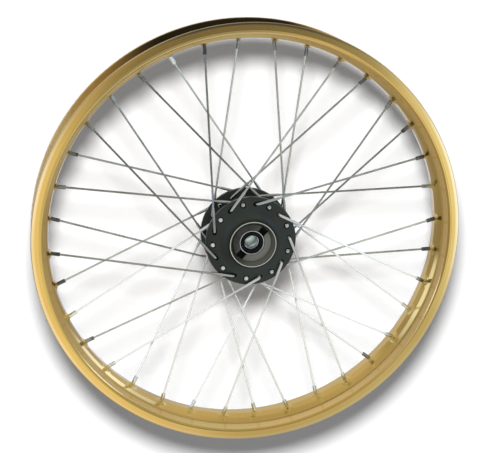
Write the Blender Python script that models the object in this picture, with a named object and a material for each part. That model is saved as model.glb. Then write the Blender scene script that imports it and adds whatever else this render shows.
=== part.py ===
import math

import bmesh
import bpy
from mathutils import Matrix, Vector

# Spoked motorcycle front wheel, bare of tyre, brake disc and axle.
# Metres. The axle lies along Y, the wheel's centre plane is y = 0 and the speedometer side faces -Y.

# Clearances
GAP = 0.0003                    # between pieces that seat on one another
RUNNING_GAP = 0.0005            # round a piece that turns inside another
SPOKE_HOLE_GAP = 0.0004         # round a spoke in its flange
NIPPLE_HOLE_GAP = 0.0004        # round a nipple in its boss

# Rim section
RIM_RADIUS = 0.2815
RIM_WIDTH = 0.061
RIM_FLANGE_HEIGHT = 0.014       # lip down to the bead seat
RIM_FLANGE_THICKNESS = 0.0044
RIM_LIP_ROUND = 0.0018
RIM_FACE_HEIGHT = 0.0132        # lip down to the shoulder
RIM_EDGE_ROUND = 0.0014         # between that face and the shoulder
RIM_SHOULDER_HEIGHT = 0.0067
RIM_SHOULDER_WIDTH = 0.0085
RIM_SKIN = 0.0026
RIM_SEAT_WIDTH = 0.0075
RIM_WELL_DEPTH = 0.0055
RIM_WELL_FLOOR = 0.025
RIM_CREST_WIDTH = 0.021         # of the well on the hub side
RIM_SEGMENTS = 72

# Nipple bosses pressed into the well, and the valve hole
BOSS_HEIGHT = 0.0036
BOSS_FOOT_RADIUS = 0.0075
BOSS_FACE_RADIUS = 0.0048
BOSS_SKIN = 0.0032              # metal under the nipple's head
VALVE_HOLE_RADIUS = 0.00425
VALVE_STEP = 4.5                # nipple pitches from the first nipple to the valve hole

# Lacing
SPOKE_COUNT = 36
FIRST_NIPPLE_ANGLE = math.radians(92.4)
LACING_ANGLE = math.radians(60)  # from a spoke's nipple round to its flange hole
NIPPLE_STAGGER = 0.0036         # nipples sit this far off the centre plane, by turns

# Spokes and nipples
SPOKE_BUTT_RADIUS = 0.0019
SPOKE_SHANK_RADIUS = 0.00145
SPOKE_BUTT_LENGTH = 0.026
SPOKE_TAPER_LENGTH = 0.004
SPOKE_BEND_RADIUS = 0.0024
SPOKE_BEND_STEPS = 2
SPOKE_HEAD_RADIUS = 0.0034
SPOKE_HEAD_HEIGHT = 0.0018
SPOKE_HEAD_ROUND = 0.0008
NIPPLE_RADIUS = 0.0026
NIPPLE_REACH = 0.0105           # barrel standing out of the boss
NIPPLE_CHAMFER = 0.0005
NIPPLE_HEAD_RADIUS = 0.0038
NIPPLE_HEAD_HEIGHT = 0.0022

# Bearings, 17 x 40 x 12
AXLE_RADIUS = 0.0085
BALL_RADIUS = 0.0034
BALL_COUNT = 8
RACE_WALL = 0.00185             # behind the ball track
RACE_LAND = 0.0012              # height of the track's shoulders
BEARING_WIDTH = 0.012
CAGE_RADIUS = 0.001
BEARING_SEGMENTS = 20

# Fixed pieces on the axle
TUBE_WALL = 0.0023
TUBE_BORE_GAP = 0.0001          # bore of tube and collar over that of the races
COLLAR_WALL = 0.0035
COLLAR_LENGTH = 0.0207

# Hub, measured from the centre plane
NEAR_BEARING_Y = 0.019          # inner face of the bearing on the speedometer side
FAR_BEARING_Y = 0.012
NEAR_FLANGE_Y = 0.0245          # inner face of the flange
FAR_FLANGE_Y = 0.018
FLANGE_ROOT_THICKNESS = 0.0072
FLANGE_EDGE_THICKNESS = 0.0042
FLANGE_MARGIN = 0.009           # spoke circle to the flange's edge
FLANGE_CHAMFER = 0.0005
HEAD_MARGIN = 0.0011            # spoke heads to the flange's root
BARREL_WALL = 0.0067
BARREL_FILLET = 0.012
BEARING_SHOULDER = 0.0025
HUB_SEGMENTS = 36
END_COVE_STEPS = 4
BARREL_COVE_STEPS = 3

# Speedometer side
RING_RIM = 0.0052               # drive ring beyond the bearing
RING_THICKNESS = 0.0034
RING_LEDGE = 0.0026             # hub between the bearing and the ring
RING_SLOT_WIDTH = 0.0098
RING_SLOT_DEPTH = 0.0075
RING_SLOT_ANGLE = math.radians(46)
RECESS_DEPTH = 0.008
RECESS_FLARE = 0.003
END_WALL = 0.0019
END_LAND = 0.0015
NEAR_SEAL_RADIUS = 0.0162
NEAR_SEAL_WALL = 0.0068
NEAR_SEAL_WIDTH = 0.0047
SEAL_LIP = 0.0012

# Brake side
FAR_SEAL_WIDTH = 0.007
FAR_SEAL_INSET = 0.0014
SPIGOT_WALL = 0.0092
SPIGOT_HEIGHT = 0.004
DISC_BOLT_RADIUS = 0.0034
DISC_BOLT_COUNT = 6
DISC_BOLT_DEPTH = 0.0095
DISC_BOLT_INNER_MARGIN = 0.0023
DISC_BOLT_OUTER_MARGIN = 0.0023
DISC_SEAT_FOOT = 0.0051         # disc seat to the flange's root

# Facets of small round features
DRILL_SIDES = 6
BOSS_SIDES = 8
CURVE_FACETS = 1
TRACK_STEPS = 3
EDGE_SAMPLES = 8                # points tried between a spoke's hole and the flange's edge
BEAD_SHOULDER = math.radians(45)
SHARP_ANGLE = math.radians(35)
WELD = 0.00001

# Sizes that follow
BALL_PITCH = AXLE_RADIUS + RACE_WALL + RUNNING_GAP + BALL_RADIUS
BEARING_RADIUS = BALL_PITCH + BALL_RADIUS + RUNNING_GAP + RACE_WALL
SEAT_BORE = BEARING_RADIUS + GAP
TUBE_BORE = AXLE_RADIUS + TUBE_BORE_GAP

RING_RADIUS = BEARING_RADIUS + RING_RIM
RING_BORE = NEAR_SEAL_RADIUS + GAP
RING_BACK_Y = -(NEAR_BEARING_Y + BEARING_WIDTH + RING_LEDGE)
RING_FRONT_Y = RING_BACK_Y - RING_THICKNESS
RECESS_MOUTH = RING_RADIUS + GAP + RECESS_FLARE
END_RADIUS = RECESS_MOUTH + END_WALL
NEAR_END_Y = RING_FRONT_Y - RECESS_DEPTH

SPIGOT_RADIUS = SEAT_BORE + SPIGOT_WALL
DISC_BOLT_CIRCLE = SPIGOT_RADIUS + DISC_BOLT_INNER_MARGIN + DISC_BOLT_RADIUS
DISC_SEAT_RADIUS = DISC_BOLT_CIRCLE + DISC_BOLT_RADIUS + DISC_BOLT_OUTER_MARGIN
FAR_SEAL_Y = FAR_BEARING_Y + BEARING_WIDTH + GAP
FAR_END_Y = FAR_SEAL_Y + FAR_SEAL_WIDTH + FAR_SEAL_INSET
DISC_SEAT_Y = FAR_END_Y - SPIGOT_HEIGHT
COLLAR_RADIUS = TUBE_BORE + COLLAR_WALL

BARREL_RADIUS = SEAT_BORE + BARREL_WALL
FLANGE_ROOT = DISC_SEAT_RADIUS + DISC_SEAT_FOOT
SPOKE_CIRCLE = FLANGE_ROOT + HEAD_MARGIN + SPOKE_HEAD_RADIUS
FLANGE_RADIUS = SPOKE_CIRCLE + FLANGE_MARGIN

RIM_SEAT_RADIUS = RIM_RADIUS - RIM_FLANGE_HEIGHT
RIM_WELL_RADIUS = RIM_SEAT_RADIUS - RIM_WELL_DEPTH
RIM_FLOOR_RADIUS = RIM_WELL_RADIUS - RIM_SKIN
NIPPLE_SEAT_RADIUS = RIM_FLOOR_RADIUS - BOSS_HEIGHT


def clear_scene():
    for thing in list(bpy.data.objects):
        bpy.data.objects.remove(thing)


def finish(name, colour, roughness, metallic):
    material = bpy.data.materials.new(name)
    material.use_nodes = True
    shader = material.node_tree.nodes["Principled BSDF"]
    shader.inputs["Base Color"].default_value = (*colour, 1)
    shader.inputs["Roughness"].default_value = roughness
    shader.inputs["Metallic"].default_value = metallic
    return material


def place(name, data, material, parent):
    thing = bpy.data.objects.new(name, data)
    bpy.context.collection.objects.link(thing)
    if material:
        data.materials.append(material)
    thing.parent = parent
    return thing


def group(name):
    empty = place(name, None, None, None)
    empty.empty_display_size = AXLE_RADIUS
    return empty


def mesh_from(name, bm):
    bmesh.ops.recalc_face_normals(bm, faces=bm.faces)
    mesh = bpy.data.meshes.new(name)
    bm.to_mesh(mesh)
    bm.free()
    mesh.shade_smooth()
    mesh.set_sharp_from_angle(angle=SHARP_ANGLE)
    return mesh


# A closed outline of (radius, y) points turned about the axle.
def turned(name, outline, segments, material, parent):
    bm = bmesh.new()
    corners = [bm.verts.new((radius, y, 0)) for radius, y in outline]
    edges = [bm.edges.new((a, b)) for a, b in zip(corners, corners[1:] + corners[:1])]
    bmesh.ops.spin(
        bm, geom=corners + edges, cent=(0, 0, 0), axis=(0, 1, 0), angle=math.tau, steps=segments, use_merge=True
    )
    bmesh.ops.remove_doubles(bm, verts=bm.verts, dist=WELD)
    return place(name, mesh_from(name, bm), material, parent)


def around(radius, y, angle):
    return Vector((radius * math.cos(angle), y, radius * math.sin(angle)))


# A quarter ellipse of (radius, y) points, hollow towards the corner (corner_radius, corner_y).
def cove(corner_radius, corner_y, radial, axial, steps):
    points = []
    for i in range(steps + 1):
        turn = math.pi / 2 * i / steps
        points.append((corner_radius - radial * math.sin(turn), corner_y + axial * math.cos(turn)))
    return points


def frustum(bm, start, end, start_radius, end_radius, sides):
    run = end - start
    turn = run.to_track_quat("Z", "Y").to_matrix().to_4x4()
    bmesh.ops.create_cone(
        bm,
        cap_ends=True,
        segments=sides,
        radius1=start_radius,
        radius2=end_radius,
        depth=run.length,
        matrix=Matrix.Translation((start + end) / 2) @ turn,
    )


# A drilled hole whose flats, not its corners, lie at the given radius.
def drill(bm, start, end, radius):
    reach = radius / math.cos(math.pi / DRILL_SIDES)
    frustum(bm, start, end, reach, reach, DRILL_SIDES)


def cut(target, name, bm, operation):
    tool = place(name, mesh_from(name, bm), None, target.parent)
    tool.hide_render = True
    tool.display_type = "WIRE"
    step = target.modifiers.new(name, "BOOLEAN")
    step.operation = operation
    step.solver = "EXACT"
    step.use_self = True
    step.object = tool


# A round bar along a route, with its own radius at every point.
def bar(name, stations, closed, material, parent):
    curve = bpy.data.curves.new(name, "CURVE")
    curve.dimensions = "3D"
    curve.bevel_depth = SPOKE_BUTT_RADIUS
    curve.bevel_resolution = CURVE_FACETS
    curve.use_fill_caps = not closed
    spline = curve.splines.new("POLY")
    spline.use_cyclic_u = closed
    spline.points.add(len(stations) - 1)
    for point, (place_at, radius) in zip(spline.points, stations):
        point.co = (*place_at, 1)
        point.radius = radius / SPOKE_BUTT_RADIUS
    return place(name, curve, material, parent)


# Half of the rim's section, lip to floor: first its outer skin, then its tyre side.
def rim_half_section():
    edge = -RIM_WIDTH / 2
    flange_back = edge + RIM_FLANGE_THICKNESS
    mouth = flange_back + RIM_SEAT_WIDTH
    base = RIM_RADIUS - RIM_FACE_HEIGHT
    lean = math.atan2(RIM_SHOULDER_HEIGHT, RIM_SHOULDER_WIDTH)
    skin = [
        (RIM_RADIUS, edge + RIM_LIP_ROUND),
        (RIM_RADIUS - RIM_LIP_ROUND, edge),
        (base + RIM_EDGE_ROUND, edge),
        (base - RIM_EDGE_ROUND * math.sin(lean), edge + RIM_EDGE_ROUND * math.cos(lean)),
        (base - RIM_SHOULDER_HEIGHT, edge + RIM_SHOULDER_WIDTH),
        (RIM_FLOOR_RADIUS, -RIM_CREST_WIDTH / 2),
    ]
    tyre_side = [
        (RIM_RADIUS - RIM_LIP_ROUND / 2, flange_back),
        (RIM_SEAT_RADIUS, flange_back),
        (RIM_SEAT_RADIUS, mouth),
        (RIM_WELL_RADIUS, -RIM_WELL_FLOOR / 2),
    ]
    return skin, tyre_side


def flipped(points):
    return [(radius, -y) for radius, y in reversed(points)]


def nipple_angle(number):
    return FIRST_NIPPLE_ANGLE + math.tau * (number - 1) / SPOKE_COUNT


# Even spokes lace to the speedometer side's flange, odd ones to the other; of each, every second one
# leaves by the flange's outer face, and those of the two faces lean opposite ways.
def spoke_layout(number):
    side = -1 if number % 2 == 0 else 1
    outside = number % 4 in (2, 3)
    lean = 1 if number % 4 in (1, 2) else -1
    return side, outside, lean


def flange_inner_y(side):
    return NEAR_FLANGE_Y if side < 0 else FAR_FLANGE_Y


def flange_thickness(radius):
    share = (radius - FLANGE_ROOT) / (FLANGE_RADIUS - FLANGE_ROOT)
    return FLANGE_ROOT_THICKNESS + share * (FLANGE_EDGE_THICKNESS - FLANGE_ROOT_THICKNESS)


def nipple_seat(number):
    side, _, _ = spoke_layout(number)
    return around(NIPPLE_SEAT_RADIUS, side * NIPPLE_STAGGER, nipple_angle(number))


# How far the elbow's corner stands off the face it leaves by: the bend starts clear of the hole, and a
# spoke on the outer face clears the flange all the way to its edge.
def elbow_standoff(number):
    side, outside, lean = spoke_layout(number)
    outward = 1 if outside else -1
    hole = around(SPOKE_CIRCLE, 0, nipple_angle(number) + lean * LACING_ANGLE)
    run = around(NIPPLE_SEAT_RADIUS, 0, nipple_angle(number)) - hole
    rest = SPOKE_BUTT_RADIUS + GAP
    face = flange_inner_y(side) + (flange_thickness(SPOKE_CIRCLE) if outside else 0)
    slope = (face + outward * rest - NIPPLE_STAGGER) / run.length
    turn = math.pi / 2 + outward * math.atan(slope)
    bend_length = SPOKE_BEND_RADIUS * math.tan(turn / 2) + GAP
    along = hole.dot(run.normalized())
    to_edge = math.sqrt(along**2 + FLANGE_RADIUS**2 - SPOKE_CIRCLE**2) - along
    lost = 0
    for i in range(EDGE_SAMPLES + 1):
        travel = to_edge * i / EDGE_SAMPLES
        radius = (hole + travel * run.normalized()).length
        fall = flange_thickness(SPOKE_CIRCLE) - flange_thickness(radius)
        lost = max(lost, outward * slope * travel - fall)
    return max(rest + lost, bend_length)


# The route's fixed points: the flange hole's two faces, the elbow's corner and the nipple's seat.
def spoke_route(number):
    side, outside, lean = spoke_layout(number)
    angle = nipple_angle(number) + lean * LACING_ANGLE
    inner = around(SPOKE_CIRCLE, side * flange_inner_y(side), angle)
    outer = around(SPOKE_CIRCLE, side * (flange_inner_y(side) + flange_thickness(SPOKE_CIRCLE)), angle)
    head_face = inner if outside else outer
    exit_face = outer if outside else inner
    leave = (exit_face - head_face).normalized()
    corner = exit_face + leave * elbow_standoff(number)
    return head_face, leave, corner, nipple_seat(number)


def elbow(corner, arrive, leave):
    turn = arrive.angle(leave)
    tangent = SPOKE_BEND_RADIUS * math.tan(turn / 2)
    start = corner - arrive * tangent
    inward = (leave - arrive * leave.dot(arrive)).normalized()
    centre = start + inward * SPOKE_BEND_RADIUS
    points = []
    for i in range(SPOKE_BEND_STEPS + 1):
        swing = turn * i / SPOKE_BEND_STEPS
        points.append(centre + (arrive * math.sin(swing) - inward * math.cos(swing)) * SPOKE_BEND_RADIUS)
    return points


# One spoke with its nipple screwed on: head, elbow, butt, shank, nipple barrel, nipple head.
def spoke(number, material, parent):
    head_face, into_hole, corner, seat = spoke_route(number)
    along = (seat - corner).normalized()
    bend = elbow(corner, into_hole, along)
    stations = [
        (head_face - into_hole * (GAP + SPOKE_HEAD_HEIGHT), SPOKE_HEAD_RADIUS - SPOKE_HEAD_ROUND),
        (head_face - into_hole * GAP, SPOKE_HEAD_RADIUS),
        (head_face, SPOKE_BUTT_RADIUS),
    ]
    stations += [(point, SPOKE_BUTT_RADIUS) for point in bend]
    butt_end = bend[-1] + along * SPOKE_BUTT_LENGTH
    barrel = seat - along * NIPPLE_REACH
    stations += [
        (butt_end, SPOKE_BUTT_RADIUS),
        (butt_end + along * SPOKE_TAPER_LENGTH, SPOKE_SHANK_RADIUS),
        (barrel, SPOKE_SHANK_RADIUS),
        (barrel + along * NIPPLE_CHAMFER, NIPPLE_RADIUS),
        (seat + along * BOSS_SKIN, NIPPLE_RADIUS),
        (seat + along * (BOSS_SKIN + GAP), NIPPLE_HEAD_RADIUS),
        (seat + along * (BOSS_SKIN + GAP + NIPPLE_HEAD_HEIGHT), NIPPLE_HEAD_RADIUS),
    ]
    bar(f"spoke_{number:02d}", stations, False, material, parent)


def rim(material, parent):
    skin, tyre_side = rim_half_section()
    outline = skin + flipped(skin) + [(r, -y) for r, y in tyre_side] + list(reversed(tyre_side))
    body = turned("rim", outline, RIM_SEGMENTS, material, parent)

    bosses = bmesh.new()
    holes = bmesh.new()
    for number in range(1, SPOKE_COUNT + 1):
        side, _, _ = spoke_layout(number)
        angle = nipple_angle(number)
        foot = around(RIM_FLOOR_RADIUS + RIM_SKIN / 2, side * NIPPLE_STAGGER, angle)
        _, _, corner, seat = spoke_route(number)
        frustum(bosses, foot, seat, BOSS_FOOT_RADIUS, BOSS_FACE_RADIUS, BOSS_SIDES)
        along = (seat - corner).normalized()
        cup = seat + along * BOSS_SKIN
        past_floor = cup + along * (BOSS_HEIGHT + RIM_SKIN)
        drill(holes, seat - along * BOSS_SKIN, past_floor, NIPPLE_RADIUS + NIPPLE_HOLE_GAP)
        drill(holes, cup, past_floor, NIPPLE_HEAD_RADIUS + NIPPLE_HOLE_GAP)
    valve = nipple_angle(1 + VALVE_STEP)
    valve_start = around(NIPPLE_SEAT_RADIUS, 0, valve)
    drill(holes, valve_start, around(RIM_SEAT_RADIUS, 0, valve), VALVE_HOLE_RADIUS)
    cut(body, "boss_tool", bosses, "UNION")
    cut(body, "nipple_hole_tool", holes, "DIFFERENCE")


# The hub's outline: outside from the speedometer end to the brake end, then back through the bore.
def hub_outline():
    near_root = -(NEAR_FLANGE_Y + FLANGE_ROOT_THICKNESS)
    near_edge = -(NEAR_FLANGE_Y + FLANGE_EDGE_THICKNESS)
    far_root = FAR_FLANGE_Y + FLANGE_ROOT_THICKNESS
    far_edge = FAR_FLANGE_Y + FLANGE_EDGE_THICKNESS
    brim = FLANGE_RADIUS - FLANGE_CHAMFER
    fillet = FLANGE_ROOT - BARREL_RADIUS
    land_y = NEAR_END_Y + END_LAND
    end_cove = cove(FLANGE_ROOT, land_y, FLANGE_ROOT - END_RADIUS, near_root - land_y, END_COVE_STEPS)
    near_cove = cove(FLANGE_ROOT, -NEAR_FLANGE_Y + BARREL_FILLET, fillet, -BARREL_FILLET, BARREL_COVE_STEPS)
    far_cove = cove(FLANGE_ROOT, FAR_FLANGE_Y - BARREL_FILLET, fillet, BARREL_FILLET, BARREL_COVE_STEPS)
    outline = [(END_RADIUS, NEAR_END_Y)]
    outline += reversed(end_cove)
    outline += [
        (brim, near_edge),
        (FLANGE_RADIUS, near_edge + FLANGE_CHAMFER),
        (FLANGE_RADIUS, -NEAR_FLANGE_Y),
    ]
    outline += near_cove
    outline += reversed(far_cove)
    outline += [
        (FLANGE_RADIUS, FAR_FLANGE_Y),
        (FLANGE_RADIUS, far_edge - FLANGE_CHAMFER),
        (brim, far_edge),
        (FLANGE_ROOT, far_root),
        (DISC_SEAT_RADIUS, far_root),
        (DISC_SEAT_RADIUS, DISC_SEAT_Y),
        (SPIGOT_RADIUS, DISC_SEAT_Y),
        (SPIGOT_RADIUS, FAR_END_Y),
    ]
    core = BEARING_RADIUS - BEARING_SHOULDER
    ring_bore = RING_RADIUS + GAP
    outline += [
        (SEAT_BORE, FAR_END_Y),
        (SEAT_BORE, FAR_BEARING_Y - GAP),
        (core, FAR_BEARING_Y - GAP),
        (core, -NEAR_BEARING_Y + GAP),
        (SEAT_BORE, -NEAR_BEARING_Y + GAP),
        (SEAT_BORE, RING_BACK_Y + GAP),
        (ring_bore, RING_BACK_Y + GAP),
        (ring_bore, RING_FRONT_Y),
        (RECESS_MOUTH, NEAR_END_Y),
    ]
    return outline


def hub(material, parent):
    body = turned("hub_shell", hub_outline(), HUB_SEGMENTS, material, parent)
    holes = bmesh.new()
    for number in range(1, SPOKE_COUNT + 1):
        head_face, into_hole, corner, _ = spoke_route(number)
        lift = into_hole * SPOKE_HEAD_HEIGHT
        drill(holes, head_face - lift, corner + lift, SPOKE_BUTT_RADIUS + SPOKE_HOLE_GAP)
        _, outside, _ = spoke_layout(number)
        if not outside:
            drill(holes, head_face, head_face - 2 * lift, SPOKE_HEAD_RADIUS + SPOKE_HOLE_GAP)
    for i in range(DISC_BOLT_COUNT):
        angle = math.tau * i / DISC_BOLT_COUNT
        start = around(DISC_BOLT_CIRCLE, DISC_SEAT_Y - DISC_BOLT_DEPTH, angle)
        drill(holes, start, around(DISC_BOLT_CIRCLE, FAR_END_Y, angle), DISC_BOLT_RADIUS)
    cut(body, "spoke_hole_tool", holes, "DIFFERENCE")


# Outline of a race: a block with a round track hollowed for the balls, on the side towards the pitch circle.
def race_outline(back, towards, middle):
    track = BALL_RADIUS + RUNNING_GAP
    land = BALL_PITCH + towards * (track - RACE_LAND)
    half = BEARING_WIDTH / 2
    reach = math.acos((track - RACE_LAND) / track)
    outline = [(back, middle - half), (back, middle + half), (land, middle + half)]
    for i in range(TRACK_STEPS + 1):
        swing = reach * (1 - 2 * i / TRACK_STEPS)
        outline.append((BALL_PITCH + towards * track * math.cos(swing), middle + track * math.sin(swing)))
    outline.append((land, middle - half))
    return outline


# The balls held in their cage, as one string of beads round the pitch circle.
def ball_cage(name, middle, material, parent):
    pitch = math.tau / BALL_COUNT
    shoulder = BALL_RADIUS * math.cos(BEAD_SHOULDER)
    lead = BALL_RADIUS * math.sin(BEAD_SHOULDER) / BALL_PITCH
    beads = [(0, BALL_RADIUS), (lead, shoulder), (pitch / 2, CAGE_RADIUS), (pitch - lead, shoulder)]
    stations = []
    for ball in range(BALL_COUNT):
        for turn, radius in beads:
            stations.append((around(BALL_PITCH, middle, ball * pitch + turn), radius))
    bar(name, stations, True, material, parent)


def bearing(label, inner_face, side, steel, bronze, fixed, wheel, cage):
    middle = side * (inner_face + BEARING_WIDTH / 2)
    outer = race_outline(BEARING_RADIUS, 1, middle)
    inner = race_outline(AXLE_RADIUS, -1, middle)
    turned(f"{label}_bearing_outer_race", outer, BEARING_SEGMENTS, steel, wheel)
    turned(f"{label}_bearing_inner_race", inner, BEARING_SEGMENTS, steel, fixed)
    ball_cage(f"{label}_bearing_balls", middle, bronze, cage)


def distance_tube(material, parent):
    start = -NEAR_BEARING_Y + GAP
    end = FAR_BEARING_Y - GAP
    outer = TUBE_BORE + TUBE_WALL
    outline = [(TUBE_BORE, start), (outer, start), (outer, end), (TUBE_BORE, end)]
    turned("distance_tube", outline, BEARING_SEGMENTS, material, parent)


def axle_collar(material, parent):
    start = FAR_BEARING_Y + BEARING_WIDTH + GAP
    end = start + COLLAR_LENGTH
    outline = [
        (TUBE_BORE, start),
        (COLLAR_RADIUS, start),
        (COLLAR_RADIUS, end - FLANGE_CHAMFER),
        (COLLAR_RADIUS - FLANGE_CHAMFER, end),
        (TUBE_BORE, end),
    ]
    turned("axle_collar", outline, BEARING_SEGMENTS, material, parent)


# A seal's outline: outer shell, a web, and a lip thickened round its bore.
def seal_outline(bore, outer, start, width, side):
    web = width / 2
    end = start + side * width
    shell = outer - SEAL_LIP
    lip = bore + SEAL_LIP
    return [
        (bore, start),
        (outer, start),
        (outer, end),
        (shell, end),
        (shell - SEAL_LIP, end - side * (width - web)),
        (lip + SEAL_LIP, end - side * (width - web)),
        (lip, end),
        (bore, end),
    ]


def seals(material, parent):
    near_start = -(NEAR_BEARING_Y + BEARING_WIDTH + GAP)
    near_bore = NEAR_SEAL_RADIUS - NEAR_SEAL_WALL
    near = seal_outline(near_bore, NEAR_SEAL_RADIUS, near_start, NEAR_SEAL_WIDTH, -1)
    turned("speedometer_side_seal", near, BEARING_SEGMENTS, material, parent)
    far = seal_outline(COLLAR_RADIUS + RUNNING_GAP, BEARING_RADIUS, FAR_SEAL_Y, FAR_SEAL_WIDTH, 1)
    turned("brake_side_seal", far, BEARING_SEGMENTS, material, parent)


# The ring that turns the speedometer gear by two slots beside the seal.
def drive_ring(material, parent):
    outline = [
        (RING_BORE, RING_BACK_Y),
        (RING_RADIUS, RING_BACK_Y),
        (RING_RADIUS, RING_FRONT_Y),
        (RING_BORE, RING_FRONT_Y),
    ]
    body = turned("speedometer_drive_ring", outline, HUB_SEGMENTS, material, parent)
    slots = bmesh.new()
    reach = RING_BORE + RING_SLOT_DEPTH
    size = Matrix.Diagonal((2 * reach, RING_THICKNESS + 2 * GAP, RING_SLOT_WIDTH, 1))
    at = Matrix.Translation((0, (RING_BACK_Y + RING_FRONT_Y) / 2, 0))
    bmesh.ops.create_cube(slots, size=1, matrix=at @ Matrix.Rotation(-RING_SLOT_ANGLE, 4, "Y") @ size)
    cut(body, "slot_tool", slots, "DIFFERENCE")


def build():
    clear_scene()
    gold = finish("gold_anodised_aluminium", (0.62, 0.40, 0.12), 0.32, 1.0)
    zinc = finish("zinc_plated_steel", (0.62, 0.63, 0.62), 0.28, 1.0)
    black = finish("satin_black_paint", (0.025, 0.027, 0.026), 0.45, 0.0)
    steel = finish("bearing_steel", (0.55, 0.56, 0.56), 0.2, 1.0)
    bronze = finish("ball_cage_steel", (0.5, 0.46, 0.38), 0.3, 1.0)
    rubber = finish("seal_rubber", (0.012, 0.012, 0.013), 0.6, 0.0)
    dark = finish("dark_phosphated_steel", (0.09, 0.085, 0.075), 0.45, 1.0)

    fixed = group("axle_set")
    wheel = group("wheel")
    near_cage = group("speedometer_side_cage")
    far_cage = group("brake_side_cage")

    rim(gold, wheel)
    for number in range(1, SPOKE_COUNT + 1):
        spoke(number, zinc, wheel)
    hub(black, wheel)
    bearing("speedometer_side", NEAR_BEARING_Y, -1, steel, bronze, fixed, wheel, near_cage)
    bearing("brake_side", FAR_BEARING_Y, 1, steel, bronze, fixed, wheel, far_cage)
    distance_tube(zinc, fixed)
    axle_collar(zinc, fixed)
    seals(rubber, wheel)
    drive_ring(dark, wheel)


build()
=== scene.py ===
import math

import bpy
from mathutils import Matrix, Vector


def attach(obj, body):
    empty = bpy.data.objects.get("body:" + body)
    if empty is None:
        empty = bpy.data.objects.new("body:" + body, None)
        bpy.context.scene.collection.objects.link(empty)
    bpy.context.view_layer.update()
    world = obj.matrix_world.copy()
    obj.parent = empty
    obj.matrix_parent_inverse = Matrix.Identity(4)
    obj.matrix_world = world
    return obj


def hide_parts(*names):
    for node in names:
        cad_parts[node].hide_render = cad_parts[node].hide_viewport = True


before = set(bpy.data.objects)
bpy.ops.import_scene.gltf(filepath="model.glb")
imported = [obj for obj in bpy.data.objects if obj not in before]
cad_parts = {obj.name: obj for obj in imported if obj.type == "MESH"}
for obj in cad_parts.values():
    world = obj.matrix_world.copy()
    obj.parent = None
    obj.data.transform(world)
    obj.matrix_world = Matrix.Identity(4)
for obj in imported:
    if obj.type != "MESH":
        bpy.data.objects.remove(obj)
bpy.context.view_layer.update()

mm = 0.001
weld = 0.004 * mm
print("frame loaded,", len(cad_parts), "nodes")


# ways of working

def deselectAll():
    if bpy.context.mode != "OBJECT":
        bpy.ops.object.mode_set(mode="OBJECT")
    bpy.ops.object.select_all(action="DESELECT")


def pick(piece):  # selects one piece alone
    deselectAll()
    piece.select_set(True)
    bpy.context.view_layer.objects.active = piece


def editOnly(piece):
    pick(piece)
    bpy.ops.object.mode_set(mode="EDIT")


def newest(name):
    piece = bpy.context.object
    piece.name = name
    piece.data.name = name
    return piece


def tidyMesh(piece, sharp=32):  # welds, turns the faces outwards and smooths all but the sharp edges
    editOnly(piece)
    bpy.ops.mesh.select_all(action="SELECT")
    bpy.ops.mesh.remove_doubles(threshold=weld)
    bpy.ops.mesh.normals_make_consistent(inside=False)
    bpy.ops.object.mode_set(mode="OBJECT")
    bpy.ops.object.shade_smooth_by_angle(angle=math.radians(sharp))
    return piece


def rounded(corners, stepAngle=30):  # (radius, y, fillet) corners in mm to a smooth outline in metres
    points = []
    for i, (radius, y, fillet) in enumerate(corners):
        here = Vector((radius, y))
        back = (Vector(corners[i - 1][:2]) - here).normalized()
        ahead = (Vector(corners[(i + 1) % len(corners)][:2]) - here).normalized()
        turn = math.pi - back.angle(ahead)
        if not fillet or turn < 0.02:
            points.append(here * mm)
            continue
        centre = here + (back + ahead).normalized() * fillet / math.cos(turn / 2)
        start = here + back * fillet * math.tan(turn / 2) - centre
        way = 1 if back.x * ahead.y - back.y * ahead.x < 0 else -1
        steps = max(2, math.ceil(math.degrees(turn) / stepAngle))
        for k in range(steps + 1):
            swing = way * turn * k / steps
            arm = Vector((start.x * math.cos(swing) - start.y * math.sin(swing),
                          start.x * math.sin(swing) + start.y * math.cos(swing)))
            points.append((centre + arm) * mm)
    return points


def turnedPiece(name, outline, finish=None, steps=96, sharp=32):  # a closed (radius, y) outline spun about the axle
    deselectAll()
    bpy.ops.mesh.primitive_circle_add(vertices=len(outline), radius=outline[0][0])
    piece = newest(name)
    for corner, (radius, y) in zip(piece.data.vertices, outline):
        corner.co = (radius, y, 0)
    editOnly(piece)
    bpy.ops.mesh.select_all(action="SELECT")
    bpy.ops.mesh.spin(steps=steps, angle=math.tau, center=(0, 0, 0), axis=(0, 1, 0))
    if finish:
        piece.data.materials.append(finish)
    return tidyMesh(piece, sharp)


def fromAxle(spot):
    return math.hypot(spot.x, spot.z)


def awayFromAxle(spot, facing):  # positive on faces that look outwards
    return facing.x * spot.x + facing.z * spot.z


def paintFaces(piece, finish, test):  # gives a second finish to the faces that pass the test
    piece.data.materials.append(finish)
    index = len(piece.data.materials) - 1
    for face in piece.data.polygons:
        if test(face.center, face.normal):
            face.material_index = index


def rod(start, end, radius, sides, endRadius=None):  # a plain cutter between two points, in mm
    start, end = start * mm, end * mm
    run = end - start
    turn = run.to_track_quat("Z", "Y").to_euler()
    bpy.ops.mesh.primitive_cone_add(vertices=sides, radius1=radius * mm, radius2=(endRadius or radius) * mm,
                                    depth=run.length, location=(start + end) / 2, rotation=turn)
    return bpy.context.object


def block(size, centre, turn=0):  # a box cutter, in mm, turned about the axle's direction
    bpy.ops.mesh.primitive_cube_add(size=1, location=Vector(centre) * mm, rotation=(0, turn, 0),
                                    scale=[length * mm for length in size])
    return bpy.context.object


def joined(pieces):
    deselectAll()
    for piece in pieces:
        piece.select_set(True)
    bpy.context.view_layer.objects.active = pieces[0]
    if len(pieces) > 1:
        bpy.ops.object.join()
    return pieces[0]


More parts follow.
